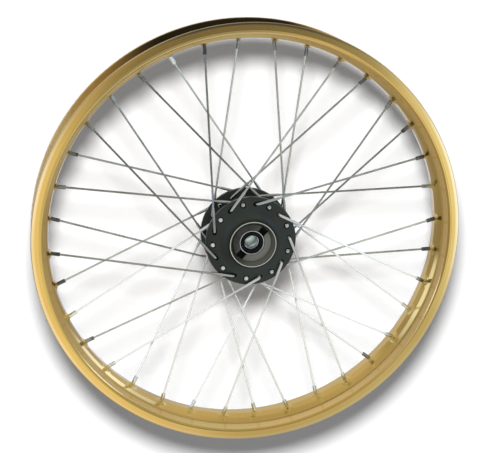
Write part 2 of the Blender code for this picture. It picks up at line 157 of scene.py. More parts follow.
def combine(piece, tool, operation):
    pick(piece)
    step = piece.modifiers.new("combine", "BOOLEAN")
    step.operation = operation
    step.solver = "EXACT"
    step.material_mode = "TRANSFER"
    step.object = tool
    bpy.ops.object.modifier_apply(modifier=step.name)
    bpy.data.objects.remove(tool)
    return piece


def cutAway(piece, tools, finish):  # takes the tools out of the piece; the cut faces get the finish
    for tool in tools:
        tool.data.materials.clear()
        tool.data.materials.append(finish)
    return combine(piece, joined(tools), "DIFFERENCE")


def hand(piece, body, slot, *nodes):
    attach(piece, body)
    if nodes:
        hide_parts(*nodes)
    return piece


def around(radius, y, angle):
    return Vector((radius * math.cos(angle), y, radius * math.sin(angle)))


def swing(piece, angle):  # carries a mesh round the axle
    piece.data.transform(Matrix.Rotation(-angle, 4, "Y"))
    return piece


def swungCopy(piece, name, angle):  # a copy with its own mesh, carried round the axle
    copy = piece.copy()
    copy.data = piece.data.copy()
    copy.name = copy.data.name = name
    bpy.context.collection.objects.link(copy)
    return swing(copy, angle)


# shader maths

class Wire:  # a socket that adds, multiplies and compares like a number
    def __init__(self, tree, socket):
        self.tree = tree
        self.socket = socket

    def output(self, which):  # another output of the same node
        return Wire(self.tree, self.socket.node.outputs[which])

    def maths(self, operation, *values):
        return addNode(self.tree, "ShaderNodeMath", {"operation": operation}, dict(enumerate(values)))

    def __add__(self, other):
        return self.maths("ADD", self, other)

    def __radd__(self, other):
        return self.maths("ADD", other, self)

    def __sub__(self, other):
        return self.maths("SUBTRACT", self, other)

    def __rsub__(self, other):
        return self.maths("SUBTRACT", other, self)

    def __mul__(self, other):
        return self.maths("MULTIPLY", self, other)

    def __rmul__(self, other):
        return self.maths("MULTIPLY", other, self)

    def __truediv__(self, other):
        return self.maths("DIVIDE", self, other)

    def __pow__(self, other):
        return self.maths("POWER", self, other)

    def __abs__(self):
        return self.maths("ABSOLUTE", self)

    def band(self, low, high):  # 0 below low to 1 above high, eased
        return addNode(self.tree, "ShaderNodeMapRange", {"interpolation_type": "SMOOTHSTEP"},
                       {"Value": self, "From Min": low, "From Max": high})

    def between(self, low, full, fade, high):  # 1 from full to fade, 0 below low and above high
        return self.band(low, full) * (1 - self.band(fade, high))


def plug(tree, slot, value):
    if isinstance(value, Wire):
        tree.links.new(value.socket, slot)
    elif hasattr(slot.default_value, "__len__") and len(value) == 3 and len(slot.default_value) == 4:
        slot.default_value = (*value, 1)
    else:
        slot.default_value = value


def addNode(tree, kind, settings=None, sockets=None, out=0):
    made = tree.nodes.new(kind)
    for key, value in (settings or {}).items():
        setattr(made, key, value)
    for key, value in (sockets or {}).items():
        plug(tree, made.inputs[key], value)
    return Wire(tree, made.outputs[out])


def mixColour(tree, share, first, second):
    return addNode(tree, "ShaderNodeMix", {"data_type": "RGBA"}, {"Factor": share, 6: first, 7: second}, out=2)


class Finish:  # a material with its principled shader, and the place on the piece from Object coordinates
    def __init__(self, name, metal, **fixed):
        self.material = bpy.data.materials.new(name)
        self.material.use_nodes = True
        self.tree = self.material.node_tree
        self.shader = self.tree.nodes["Principled BSDF"]
        self.set("Metallic", metal)
        for key, value in fixed.items():
            self.set(key.replace("_", " "), value)
        self.spot = self.node("ShaderNodeTexCoord", out="Object")
        parts = self.node("ShaderNodeSeparateXYZ", sockets={0: self.spot})
        self.x, self.y, self.z = (parts.output(i) for i in range(3))
        self.radius = (self.x * self.x + self.z * self.z) ** 0.5    # from the axle
        self.angle = self.x.maths("ARCTAN2", self.z, self.x)        # round it

    def set(self, socket, value):
        plug(self.tree, self.shader.inputs[socket], value)

    def node(self, kind, settings=None, sockets=None, out=0):
        return addNode(self.tree, kind, settings, sockets, out)

    def noise(self, scale, detail=3, roughness=0.5, at=None):
        return self.node("ShaderNodeTexNoise", sockets={
            "Vector": at or self.spot, "Scale": scale, "Detail": detail, "Roughness": roughness})

    def lines(self, fine, sweep, detail=3):  # fine lines round the axle, left by rolling or the lathe
        return self.noise(1.0, detail, at=self.vector(self.radius * fine, self.y * fine, self.angle * sweep))

    def vector(self, x, y, z):
        return self.node("ShaderNodeCombineXYZ", sockets={"X": x, "Y": y, "Z": z})

    def mix(self, share, first, second):
        return mixColour(self.tree, share, first, second)

    def bump(self, height, distance):
        self.set("Normal", self.node("ShaderNodeBump", sockets={
            "Height": height, "Distance": distance, "Strength": 1.0}))


# lacing, in mm; the nipples are counted anticlockwise from the top

lacing = dict(
    count=36,
    kinds=4,                        # spokes in the group that repeats round the wheel
    firstAngle=math.radians(92.4),
    lacingAngle=math.radians(60),   # from a nipple round to its flange hole
    stagger=3.6,                    # nipples off the centre plane, by turns
    nippleSeat=255.8,
    darkSpokes=[2, 4, 6, 8, 29, 31],        # painted light and shade: spokes and nipples toned one by one, lighter low down, darker at the upper left
    paleSpokes=[1, 3, 11, 13, 28, 34, 35, 36],
    brightSpokes=[12] + list(range(14, 27)),
    # painted shade and light on the nipples: darker above, brighter in the lower half
    darkNipples=[2, 7, 9, 10, 11, 27, 28, 30, 31, 33],
    dullNipples=[1, 4, 5, 6, 8, 13, 23, 26, 29, 32, 34, 35, 36],
    spokeCircle=50.5,
    flangeRoot=46.0,
    flangeEdge=59.5,
    nearFlange=24.5,                # inner faces from the centre plane
    farFlange=18.0,
    rootThickness=7.2,
    edgeThickness=4.2,
)
pitch = math.tau / lacing["count"]
groups = lacing["count"] // lacing["kinds"]


# the rim's finish: where each mark fades in and out, in metres from the axle or the centre plane and in radians

rimLook = dict(
    gold=[(0.57, 0.368, 0.088), (0.63, 0.412, 0.108)],
    shoulder=(0.2619, 0.2629, 0.2664, 0.2676),
    shoulderSide=(0.0220, 0.0236),
    shoulderScuffSheenGold=(0.70, 0.49, 0.205),
    bend=(0.2608, 0.2613, 0.2664, 0.2676),
    bendSide=(0.0185, 0.0202),
    pale=(0.2619, 0.2629, 0.2676, 0.2688),  # the inner edge at the upper left, a painted highlight
    innerEdgeHighlightAngle=(1.2, 1.6, 2.75, 3.0),
    innerEdgeHighlightGold=(0.86, 0.63, 0.27),
    rollShade=(0.2678, 0.2692, 0.2714, 0.2730),   # the roll beside it, painted darker as shade
    rollShadeAngle=(1.2, 1.6, 2.25, 2.6),
    rollShadeGold=(0.30, 0.21, 0.07),
    lip=(0.0296, 0.0303),
    lipWearAndHighlight=(0.2758, 0.2786),               # thin anodising all round, paler still at left and right as a painted highlight
    lipHighlightRight=(0.205, 0.262),
    lipHighlightRightHeight=(-0.12, 0.03, 0.14, 0.19),
    lipHighlightLeft=(0.205, 0.25),
    lipHighlightLeftHeight=(0.0, 0.07, 0.09, 0.14),
    lipWearAndHighlightGold=(0.77, 0.61, 0.34),
    boss=(0.000012, 0.00011),               # squares of the distance from a boss
    bossPitch=0.045,                        # from one boss to the next, along the rim
    bossHighlightGold=(0.88, 0.64, 0.22),
    lipTopShade=(0.2768, 0.2802),
    topShadeAngle=(0.85, 1.35, 1.80, 2.15),
    rubber=(0.05, 0.04, 0.025),
    lacquer=(-0.24, -0.05),                 # thicker towards the right
)


def goldFinish():
    g = rimLook
    made = Finish("rimGold", 1.0, Coat_Roughness=0.05, Specular_Tint=(0.95, 0.86, 0.62))
    x, y, z, radius, angle = made.x, made.y, made.z, made.radius, made.angle
    drawn = made.lines(900, 1.5, 4)
    cloud = made.noise(9, 4)                                    # uneven anodising
    speck = made.noise(700, 2)
    gold = made.mix(cloud.band(0.3, 0.7), *g["gold"])
    turns = (angle - lacing["firstAngle"]) * (1 / pitch)
    apart = turns.maths("PINGPONG", turns, 0.5)                 # from the nearest nipple
    outer = abs(y).band(*g["shoulderSide"])
    # painted reflection: a darker tick where each nipple would show in the shoulder
    scuffAndSheen = radius.between(*g["shoulder"]) * outer * (0.45 + apart.band(0.025, 0.06) * 0.55)
    gold = made.mix(scuffAndSheen * 0.8, gold, g["shoulderScuffSheenGold"])       # the shoulders are paler and greyer: partly scuffed, partly a painted sheen
    # painted highlight: the inner edge at the upper left is painted paler
    pale = radius.between(*g["pale"]) * outer * angle.between(*g["innerEdgeHighlightAngle"])
    gold = made.mix(pale * 0.9, gold, g["innerEdgeHighlightGold"])
    # painted shade: the roll at the upper left is painted darker
    rollShade = radius.between(*g["rollShade"]) * outer * angle.between(*g["rollShadeAngle"])
    gold = made.mix(rollShade * 0.8, gold, g["rollShadeGold"])
    lip = abs(y).band(*g["lip"])
    # painted highlight: the face's outer band is painted paler at the left and right, and a little all round for the
    # thin anodising
    right = x.band(*g["lipHighlightRight"]) * z.between(*g["lipHighlightRightHeight"])
    left = (0 - x).band(*g["lipHighlightLeft"]) * (0.45 + z.between(*g["lipHighlightLeftHeight"]) * 0.55)
    wearAndHighlight = lip * radius.band(*g["lipWearAndHighlight"]) * (0.2 + (right + left) * 0.8)
    gold = made.mix(wearAndHighlight, gold, g["lipWearAndHighlightGold"])
    along = apart * g["bossPitch"]
    boss = 1 - (along * along + y * y).band(*g["boss"])
    # painted highlight: the bosses are painted paler
    gold = made.mix(boss * 0.35, gold, g["bossHighlightGold"])
    rubber = lip * radius.band(*g["lipTopShade"]) * angle.between(*g["topShadeAngle"])
    made.set("Base Color", made.mix(rubber * 0.8, gold, g["rubber"]))               # painted shade: the lip is painted dark across the top
    bend = radius.between(*g["bend"]) * abs(y).band(*g["bendSide"])
    made.set("Roughness", 0.10 + drawn * 0.05 + speck * 0.03 + bend * 0.20 + boss * 0.24)
    made.set("Coat Weight", 0.3 + lip * (x.band(*g["lacquer"]) * 0.6 - 0.05))
    made.bump(drawn * 0.7 + speck * 0.3, 0.000008)
    return made.material


tyreSideLook = dict(
    gold=[(0.58, 0.37, 0.10), (0.70, 0.46, 0.14)],
    tyreHighlightAngle=(2.35, 2.65),
    tyreHighlightGold=(0.95, 0.80, 0.46),
    topShadeAngle=(1.15, 1.38, 1.95, 2.35),
    rubber=(0.020, 0.017, 0.012),
)


def tyreSideFinish():
    t = tyreSideLook
    made = Finish("rimTyreSide", 1.0)
    drawn = made.lines(600, 2)
    stain = made.noise(26, 5, 0.6)
    gold = made.mix(stain.band(0.35, 0.7), *t["gold"])
    gold = made.mix(made.angle.band(*t["tyreHighlightAngle"]) * 0.7, gold, t["tyreHighlightGold"])      # painted highlight: paler beside the lip at the left
    rubber = made.angle.between(*t["topShadeAngle"]) * stain.band(0.15, 0.4)          # painted shade: the tyre side is painted near black across the top, in blotches
    made.set("Base Color", made.mix(rubber * 0.94, gold, t["rubber"]))
    made.set("Roughness", 0.42 + stain * 0.2)
    made.bump(drawn, 0.00004)
    return made.material


def plated(made, cloudScale, speckScale):  # the gloss of plating; gives its cloudiness
    cloud = made.noise(cloudScale)
    speck = made.noise(speckScale, 2)
    made.set("Roughness", 0.12 + cloud * 0.10 + speck * 0.05)
    made.bump(speck, 0.00002)
    return cloud.band(0.35, 0.65)


def spokeFinish(name, low, high, edge, metal=1.0, blue=0.89):  # zinc plating, with one even mid tone on every spoke near the hub
    made = Finish(name, metal, Specular_Tint=(edge, edge, edge))
    cloud = plated(made, 60, 1500)
    plating = made.mix(cloud, (low, low * 1.02, low * blue), (high, high * 1.02, high * blue))
    nearHub = 1 - made.radius.band(0.06, 0.115)
    made.set("Base Color", made.mix(nearHub * 0.8, plating, (0.44, 0.45, 0.42)))
    return made.material


def nippleFinish(name, low, high):
    made = Finish(name, 1.0)
    cloud = plated(made, 90, 1300)
    made.set("Base Color", made.mix(cloud, (low, low * 1.05, low * 0.90), (high, high * 1.03, high * 0.90)))
    return made.material


def hubFinish():
    made = Finish("hubSatinBlack", 0.0, Specular_IOR_Level=0.42)
    grain = made.noise(1100, 3, 0.6)                            # the paint's fine orange peel
    cloud = made.noise(45, 4)
    rub = made.radius.band(0.0588, 0.0594) * made.noise(160).band(0.35, 0.62)       # rubbed flange edges
    paint = made.mix(cloud.band(0.3, 0.7), (0.0080, 0.0112, 0.0082), (0.0125, 0.0165, 0.0125))
    made.set("Base Color", made.mix(rub * 0.6, paint, (0.16, 0.16, 0.15)))
    made.set("Roughness", 0.36 + cloud * 0.12 + grain * 0.08)
    made.bump(grain, 0.00005)
    return made.material


# painted shade: holes, slots and faces deep in the hub are painted near black
def holeShadeFinish():
    made = Finish("hubHolePaintedShade", 0.0, Specular_IOR_Level=0.04)
    grain = made.noise(500)
    made.set("Base Color", made.mix(grain, (0.0015, 0.0015, 0.0015), (0.005, 0.005, 0.0045)))
    made.set("Roughness", 0.6 + grain * 0.2)
    return made.material


def machinedFinish():
    made = Finish("hubMachinedEdge", 1.0)
    lathe = made.lines(2500, 0.6)
    made.set("Base Color", made.mix(made.noise(120), (0.49, 0.48, 0.41), (0.67, 0.66, 0.56)))
    made.set("Roughness", 0.26 + lathe * 0.2)
    made.bump(lathe, 0.00003)
    return made.material


def driveRingFinish():
    made = Finish("driveRingPhosphate", 0.75)
    lathe = made.lines(1400, 0.8)
    grain = made.noise(900, 3, 0.65)
    stain = made.noise(70, 4)
    wearAndHighlight = (made.x * 0.75 - made.z * 0.66).band(-0.014, 0.018)                      # painted highlight: lighter towards the lower right
    coat = made.mix(stain.band(0.3, 0.7), (0.034, 0.034, 0.028), (0.060, 0.060, 0.050))
    made.set("Base Color", made.mix(wearAndHighlight, coat, (0.195, 0.195, 0.162)))
    made.set("Roughness", 0.42 + lathe * 0.14 + grain * 0.08)
    made.bump(lathe * 0.6 + grain * 0.4, 0.00004)
    return made.material


def rubberFinish():
    made = Finish("sealRubber", 0.0, Specular_IOR_Level=0.1)
    grain = made.noise(1500)
    dust = made.noise(90, 4)
    made.set("Base Color", made.mix(dust.band(0.45, 0.75), (0.004, 0.004, 0.004), (0.010, 0.010, 0.0095)))
    made.set("Roughness", 0.5 + grain * 0.2)
    made.bump(grain, 0.00003)
    return made.material


def steelFinish(name, dark, light, rough):
    made = Finish(name, 1.0)
    lathe = made.lines(2200, 0.7)
    made.set("Base Color", made.mix(made.noise(80).band(0.3, 0.7), dark, light))
    made.set("Roughness", rough - 0.05 + lathe * 0.14)
    made.bump(lathe, 0.00002)
    return made.material


rimGold = goldFinish()
rimTyreSide = tyreSideFinish()
# lit and shaded copies of the same zinc plating: painted light and shade
spokeZinc = spokeFinish("spokeZinc", 0.31, 0.41, 0.33)
spokePaintedShade = spokeFinish("spokeZincPaintedShade", 0.22, 0.30, 0.30)
spokePaintedPale = spokeFinish("spokeZincPaintedPale", 0.54, 0.66, 0.5)
spokePaintedBright = spokeFinish("spokeZincPaintedBright", 0.93, 0.96, 1.0, metal=0.5, blue=0.95)
# nipple finishes as painted shade, painted dim and painted bright copies of the nickel
nippleNickelPaintedShade = nippleFinish("nippleNickelPaintedShade", 0.07, 0.16)
nipplePaintedDim = nippleFinish("nippleNickelPaintedDim", 0.17, 0.36)
nipplePaintedBright = nippleFinish("nippleNickelPaintedBright", 0.70, 0.92)
hubBlack = hubFinish()
holeShade = holeShadeFinish()
hubMachined = machinedFinish()
ringDark = driveRingFinish()
sealRubber = rubberFinish()
sealShell = steelFinish("sealShellSteel", (0.55, 0.56, 0.54), (0.70, 0.71, 0.68), 0.3)
zincSteel = steelFinish("tubeZinc", (0.55, 0.62, 0.47), (0.72, 0.79, 0.61), 0.3)
bearingSteel = steelFinish("bearingSteel", (0.50, 0.51, 0.51), (0.60, 0.61, 0.61), 0.2)
ballSteel = steelFinish("ballSteel", (0.58, 0.58, 0.58), (0.68, 0.68, 0.68), 0.12)
cageBrass = steelFinish("cageBrass", (0.50, 0.40, 0.22), (0.60, 0.48, 0.27), 0.35)
print("finishes made")


# the lengths of the pieces are in mm

spokeShape = dict(
    sides=16,
    butt=1.9,
    shank=1.3,
    buttLength=26.0,
    taper=4.0,
    bend=2.4,
    bendSteps=8,
    head=2.95,
    headHeight=1.8,
    headTip=0.35,                   # the flat on the dome, as a share of the head
    dome=[(0.14, 0.66), (0.34, 0.86), (0.62, 0.97), (0.85, 1.0), (1.0, 0.97)],  # height and width, as shares
    neck=1.12,                      # swelling under the head
    neckLength=0.6,
    gap=0.3,
    shankSteps=6,
    inNipple=3.0,                   # how far the wire goes into the nipple
)


def nippleAngle(number):
    return lacing["firstAngle"] + pitch * (number - 1)


def spokeLayout(number):
    side = -1 if number % 2 == 0 else 1
    outside = number % 4 in (2, 3)
    lean = 1 if number % 4 in (1, 2) else -1
    return side, outside, lean


def innerFace(side):
    return lacing["nearFlange"] if side < 0 else lacing["farFlange"]


def flangeThickness(radius):
    share = (radius - lacing["flangeRoot"]) / (lacing["flangeEdge"] - lacing["flangeRoot"])
    return lacing["rootThickness"] + share * (lacing["edgeThickness"] - lacing["rootThickness"])


def elbowStandoff(number):  # the elbow's corner off the flange's face
    s = spokeShape
    side, outside, lean = spokeLayout(number)
    outward = 1 if outside else -1
    circle = lacing["spokeCircle"]
    hole = around(circle, 0, nippleAngle(number) + lean * lacing["lacingAngle"])
    run = around(lacing["nippleSeat"], 0, nippleAngle(number)) - hole
    face = innerFace(side) + (flangeThickness(circle) if outside else 0)
    slope = (face + outward * (s["butt"] + s["gap"]) - lacing["stagger"]) / run.length
    bendLength = s["bend"] * math.tan((math.pi / 2 + outward * math.atan(slope)) / 2) + s["gap"]
    along = hole.dot(run.normalized())
    toEdge = math.sqrt(along ** 2 + lacing["flangeEdge"] ** 2 - circle ** 2) - along
    lost, checks = 0, 8
    for i in range(checks + 1):                                 # where the flange rises towards the spoke
        travel = toEdge * i / checks
        radius = (hole + travel * run.normalized()).length
        fall = flangeThickness(circle) - flangeThickness(radius)
        lost = max(lost, outward * slope * travel - fall)
    return max(s["butt"] + s["gap"] + lost, bendLength)


def spokeRoute(number):  # under the head, the way out of the hole, the elbow's corner and the nipple's seat
    side, outside, lean = spokeLayout(number)
    circle = lacing["spokeCircle"]
    angle = nippleAngle(number) + lean * lacing["lacingAngle"]
    inner = around(circle, side * innerFace(side), angle)
    outer = around(circle, side * (innerFace(side) + flangeThickness(circle)), angle)
    headFace, exitFace = (inner, outer) if outside else (outer, inner)
    leave = (exitFace - headFace).normalized()
    corner = exitFace + leave * elbowStandoff(number)
    seat = around(lacing["nippleSeat"], side * lacing["stagger"], nippleAngle(number))
    return headFace, leave, corner, seat


def pull(move):  # extrudes the open end
    bpy.ops.mesh.extrude_region_move(TRANSFORM_OT_translate={"value": move * mm})


def widen(share, centre):
    bpy.ops.transform.resize(value=(share, share, share), center_override=centre * mm)


def spokeBlank(number, name):
    s = spokeShape
    headFace, leave, corner, seat = spokeRoute(number)
    along = (seat - corner).normalized()
    tip = headFace - leave * (s["gap"] + s["headHeight"])
    girth = s["head"] * s["headTip"]
    deselectAll()
    bpy.ops.mesh.primitive_circle_add(vertices=s["sides"], radius=girth * mm, location=tip * mm,
                                      rotation=(math.pi / 2, 0, 0))
    piece = newest(name)
    bpy.ops.object.transform_apply()
    editOnly(piece)
    bpy.ops.mesh.select_all(action="SELECT")
    for share, width in s["dome"]:
        target = headFace - leave * (s["gap"] + s["headHeight"] * (1 - share))
        pull(target - tip)
        tip = target
        widen(s["head"] * width / girth, tip)
        girth = s["head"] * width
    pull(leave * s["gap"])
    tip = headFace
    widen(s["butt"] * s["neck"] / girth, tip)
    pull(leave * s["neckLength"])
    tip = tip + leave * s["neckLength"]
    widen(1 / s["neck"], tip)
    turn = leave.angle(along)
    reach = s["bend"] * math.tan(turn / 2)
    start = corner - leave * reach
    pull(start - tip)
    inward = (along - leave * along.dot(leave)).normalized()
    bpy.ops.mesh.spin(steps=s["bendSteps"], angle=-turn, center=(start + inward * s["bend"]) * mm,
                      axis=leave.cross(inward))
    tip = corner + along * (reach + s["buttLength"] + s["taper"])
    pull(along * s["buttLength"])
    pull(along * s["taper"])
    widen(s["shank"] / s["butt"], tip)
    span = seat - along * (nippleShape["reach"] - s["inNipple"]) - tip
    for _ in range(s["shankSteps"]):
        pull(span / s["shankSteps"])
    bpy.ops.mesh.select_all(action="SELECT")
    bpy.ops.mesh.fill_holes(sides=0)
    return tidyMesh(piece, sharp=40)


nippleShape = dict(
    sides=24,
    radius=2.6,
    reach=10.5,
    bore=1.6,
    boreDepth=0.9,
    chamfer=0.35,
    edgeRound=0.3,
    flat=2.22,                      # half across the key flats
    flatStart=0.75,
    flatLength=5.6,
    flatOutside=2.0,                # only what lies outside this radius is flattened
    bossSkin=3.2,
    cone=(-0.2, 0.5),               # from the neck's end to the head
    coneRound=0.4,
    head=3.8,
    headLift=0.3,
    headHeight=2.2,
    headFace=0.55,                  # the flat on the head, as a share of it
    dome=0.9,
    domeRounds=(0.8, 1.2),
    centre=0.02,
    slotWidth=1.1,
    slotDepth=1.0,
)


def nippleBlank(number, name):
    n = nippleShape
    corner, seat = spokeRoute(number)[2:]
    along = (seat - corner).normalized()
    neck = n["reach"] + n["bossSkin"]
    top = neck + n["headLift"] + n["headHeight"]
    coneFoot, coneTop = n["cone"]
    domeFoot, domeTop = n["domeRounds"]
    outline = rounded([
        (n["bore"], n["boreDepth"], 0), (n["bore"], 0.25, 0), (n["bore"] + n["chamfer"], 0.0, 0),
        (n["radius"] - n["chamfer"], 0.0, n["edgeRound"]), (n["radius"], 0.5, n["edgeRound"]),
        (n["radius"], n["flatLength"] + 0.6, 0), (n["radius"], neck + coneFoot, 0),
        (n["head"], neck + coneTop, n["coneRound"]), (n["head"], top - n["dome"], domeFoot),
        (n["head"] * n["headFace"], top, domeTop), (n["centre"], top, 0), (n["centre"], n["boreDepth"], 0)])
    piece = turnedPiece(name, outline, steps=n["sides"], sharp=40)
    for v in piece.data.vertices:                               # the key flats
        if n["flatStart"] < v.co.y / mm < n["flatLength"] + 0.7 and fromAxle(v.co) > n["flatOutside"] * mm:
            v.co.x = max(-n["flat"] * mm, min(n["flat"] * mm, v.co.x))
            v.co.z = max(-n["flat"] * mm, min(n["flat"] * mm, v.co.z))
    cutAway(piece, [block((3 * n["head"], 2 * n["slotDepth"], n["slotWidth"]), (0, top, 0))], nippleNickelPaintedShade)
    rise = Vector((0, 1, 0)).rotation_difference(along).to_matrix().to_4x4()
    piece.data.transform(Matrix.Translation((seat - along * n["reach"]) * mm) @ rise)
    piece.data.materials.clear()
    piece.data.materials.append(nippleNickelPaintedShade)
    return tidyMesh(piece, sharp=30)


def tone(number, kind, usual, **others):  # the finish of one spoke or nipple
    return next((finish for word, finish in others.items() if number in lacing[word + kind]), usual)


for kind in range(1, lacing["kinds"] + 1):
    firstSpoke = spokeBlank(kind, f"spoke_wire_{kind:02d}")
    firstSpoke.data.materials.append(spokeZinc)
    firstNipple = nippleBlank(kind, f"nipple_{kind:02d}")
    for group in range(groups):
        number = kind + lacing["kinds"] * group
        lead = math.tau * group / groups
        wire = swungCopy(firstSpoke, f"spoke_wire_{number:02d}", lead) if group else firstSpoke
        nut = swungCopy(firstNipple, f"nipple_{number:02d}", lead) if group else firstNipple
        # painted light and shade: each spoke and nipple takes its lit or shaded copy of the plating
        wire.data.materials[0] = tone(number, "Spokes", spokeZinc, dark=spokePaintedShade, pale=spokePaintedPale, bright=spokePaintedBright)
        nut.data.materials[0] = tone(number, "Nipples", nipplePaintedBright, dark=nippleNickelPaintedShade, dull=nipplePaintedDim)
        hand(wire, "wheel", "spoke_zinc", f"spoke_{number:02d}")
        hand(nut, "wheel", "spoke_zinc", f"spoke_{number:02d}")
print("spokes and nipples laced")


rimShape = dict(
    radius=281.5,
    half=30.5,
    lipRound=0.9,
    lipSteps=4,
    flangeBack=26.1,                # tyre side of the flange
    faceEdge=268.5,                 # where the face turns into the shoulder
    faceRound=6.2,
    shoulder=(261.6, 22.0),         # where the shoulder meets the well
    bendRound=9.0,
    lipClear=0.5,                   # lengths of the flats that the curves beside them take
    faceClear=3.6,
    bendClear=2.8,
    wall=(259.5, -10.5),            # where the well's near wall meets its floor
    crest=(258.9, 2.5),
    soften=0.08,
    wellFrom=-18.75,
    wellStep=1.5,
    wellPoints=26,
    flangeTip=[(0.2, 0.7, 0.5), (1.2, 0.0, 0.6)],   # in from the lip, out from the back, fillet
    seat=267.5,                     # bead seat
    seatRound=2.0,
    mouth=18.6,                     # where the well begins on the tyre side
    mouthRound=1.6,
    well=262.0,
    wellHalf=12.5,
    wellRound=2.5,
    bossTop=3.3,
    bossFoot=6.5,                   # how far the boss spreads past its top
    bossHeight=3.1,
    bossWithin=264.0,               # the boss is drawn from the hub side only
    stepsPerPair=48,                # facets in two nipple pitches
    valveStretch=2,                 # which pair of nipples has the valve hole between them
    valveRadius=4.25,
    valveDrill=(250, 270),
)


def wellRadius(y):  # the well's hub side: three flats, softly joined
    r = rimShape
    base, baseY = r["shoulder"]
    (wall, wallY), (crest, crestY) = r["wall"], r["crest"]
    flats = [wall + (base - wall) * (wallY - y) / (wallY + baseY),
             crest + (wall - crest) * (crestY - y) / (crestY - wallY),
             crest + (base - crest) * (y - crestY) / (baseY - crestY)]
    top = max(flats)
    return top + r["soften"] * math.log(sum(math.exp((flat - top) / r["soften"]) for flat in flats))


def keptFlat(start, end, near, far):  # two points on a flat, so that the curves beside it don't bend its shading
    start, end = Vector(start), Vector(end)
    run = (end - start).normalized()
    return [(*(start + run * near), 0), (*(end - run * far), 0)]


def mirrored(corners):
    return [(radius, -y, fillet) for radius, y, fillet in corners]


def rimOutline():
    r = rimShape
    lip, back = r["lipRound"], r["flangeBack"]
    base, baseY = r["shoulder"]
    skin = []
    for i in range(r["lipSteps"] + 1):
        bow = math.pi / 2 * i / r["lipSteps"]
        skin.append((r["radius"] - lip + lip * math.cos(bow), lip - r["half"] - lip * math.sin(bow), 0))
    edge, bend = (r["faceEdge"], -r["half"]), (base, -baseY)
    skin += keptFlat((r["radius"] - lip, -r["half"]), edge, r["lipClear"], r["faceClear"])
    skin += [(*edge, r["faceRound"])] + keptFlat(edge, bend, r["faceClear"], r["bendClear"])
    skin += [(*bend, r["bendRound"])]
    heights = [r["wellFrom"] + r["wellStep"] * i for i in range(r["wellPoints"])]
    floor = [(wellRadius(y), y, 0) for y in heights]
    tyre = [(r["radius"] - drop, -back - out, fillet) for drop, out, fillet in r["flangeTip"]]
    tyre += [(r["seat"], -back, r["seatRound"]), (r["seat"], -r["mouth"], r["mouthRound"])]
    tyre += [(r["well"], -r["wellHalf"], r["wellRound"])]
    return rounded(skin + floor + mirrored(reversed(skin)) + mirrored(tyre) + tyre[::-1], stepAngle=16)


def onTyreSide(spot, facing):
    outwards = facing.dot(Vector((spot.x, 0, spot.z)).normalized())
    pastSeat = abs(spot.y) / mm - rimShape["flangeBack"]
    if pastSeat > -0.5:
        return facing.y * spot.y < 0 and outwards < 0.7 and pastSeat < 0.4      # the backs of the flanges
    return outwards > 0.2


def rimPiece():
    r = rimShape
    outline = rimOutline()
    deselectAll()
    bpy.ops.mesh.primitive_circle_add(vertices=len(outline), radius=r["radius"] * mm)
    piece = newest("rim_band")
    start = nippleAngle(1) - pitch / 2
    for corner, (radius, y) in zip(piece.data.vertices, outline):
        corner.co = around(radius, y, start)
    editOnly(piece)
    bpy.ops.mesh.select_all(action="SELECT")
    bpy.ops.mesh.spin(steps=r["stepsPerPair"], angle=2 * pitch, center=(0, 0, 0), axis=(0, 1, 0))
    for number in (1, 2):                                       # draws the two bosses out of the well
        outward = around(1, 0, nippleAngle(number))
        foot = outward * r["crest"][0] + Vector((0, spokeLayout(number)[0] * lacing["stagger"], 0))
        bpy.ops.mesh.select_all(action="DESELECT")
        bpy.ops.object.mode_set(mode="OBJECT")
        for v in piece.data.vertices:
            off = v.co / mm - foot
            off -= outward * off.dot(outward)
            v.select = off.length < r["bossTop"] and v.co.length < r["bossWithin"] * mm
        bpy.ops.object.mode_set(mode="EDIT")
        bpy.ops.transform.translate(value=-outward * r["bossHeight"] * mm, use_proportional_edit=True,
                                    proportional_edit_falloff="SHARP", proportional_size=r["bossFoot"] * mm)
    bpy.ops.object.mode_set(mode="OBJECT")
    piece.data.materials.append(rimGold)
    drilled = swungCopy(piece, "rim_valve_stretch", 0)
    valve = around(1, 0, start + pitch)
    deselectAll()
    inside, outside = r["valveDrill"]
    cutAway(drilled, [rod(valve * inside, valve * outside, r["valveRadius"], 32)], rimGold)
    swing(drilled, 2 * pitch * r["valveStretch"])
    swing(piece, 2 * pitch * (r["valveStretch"] + 1))
    editOnly(piece)
    bpy.ops.mesh.select_all(action="SELECT")
    stretches = lacing["count"] // 2 - 2                        # the first and the drilled one are there already
    bpy.ops.mesh.spin(steps=stretches, angle=2 * pitch * stretches, dupli=True, center=(0, 0, 0), axis=(0, 1, 0))
    joined([piece, drilled])
    tidyMesh(piece, sharp=40)
    paintFaces(piece, rimTyreSide, onTyreSide)
    return hand(piece, "wheel", "rim_gold", "rim")


rim = rimPiece()
print("rim rolled and dimpled,", len(rim.data.polygons), "faces")


hubShape = dict(
    end=-45.0,
    endRadius=30.4,
    mouth=28.5,
    brightFrom=29.3,                # the end's bare machined edge
    brightBefore=-44.6,
    land=1.5,
    ringBore=25.5,
    ringFront=-37.0,
    ringBack=-33.3,
    recess=28.3,                    # what is painted as the drive ring, with the recess
    recessBefore=-33.0,
    bearingBore=20.3,
    core=17.5,
    nearShoulder=-18.7,
    farShoulder=11.7,
    barrel=27.0,
    fillet=12.0,
    discSeat=40.9,
    discSeatY=28.7,
    bareSeat=40.5,
    bareSeatPast=28.3,
    spigot=29.5,
    farEnd=32.7,
    boltCircle=35.2,
    boltRadius=3.4,
    boltDepth=9.5,
    boltSink=0.7,
    sinkSpread=1.2,
    bolts=6,
    steps=180,
    sharp=28,
)


def cove(cornerRadius, cornerY, radial, axial, steps):
    quarter = [math.pi / 2 * i / steps for i in range(steps + 1)]
    return [(cornerRadius - radial * math.sin(a), cornerY + axial * math.cos(a), 0) for a in quarter]


